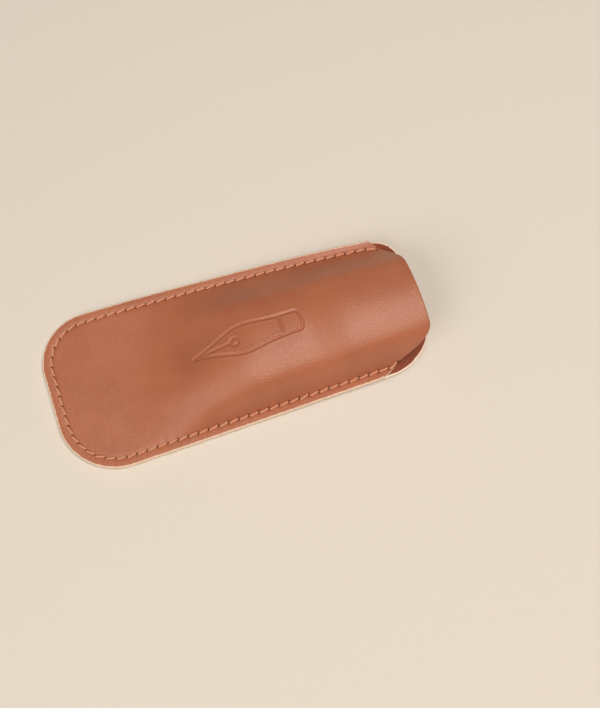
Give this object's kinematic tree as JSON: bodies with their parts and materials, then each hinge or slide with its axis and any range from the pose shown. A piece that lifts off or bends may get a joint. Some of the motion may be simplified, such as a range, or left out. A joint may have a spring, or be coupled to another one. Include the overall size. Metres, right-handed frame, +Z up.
{
  "type": "fountain pen case",
  "caption": "Flat sewn leather pouch for pocket fountain pens, open at one end, its belly shaped by the pens it carries.",
  "frame": {"origin": "on the surface that the case lies on, under the middle of its bounding box", "axes": "+X along the case and out of its mouth, +Y towards the side that the pens draw in, +Z up from the back panel to the front panel"},
  "size_m": [0.121, 0.0524, 0.017],
  "materials": {
    "leather": "smooth semi-matt brown leather with pale cut edges",
    "thread": "twisted tan sewing thread"
  },
  "bodies": {
    "root": {"back_panel": "leather", "front_panel": "leather", "needle_thread": "thread", "bobbin_thread": "thread"}
  },
  "joints": []
}
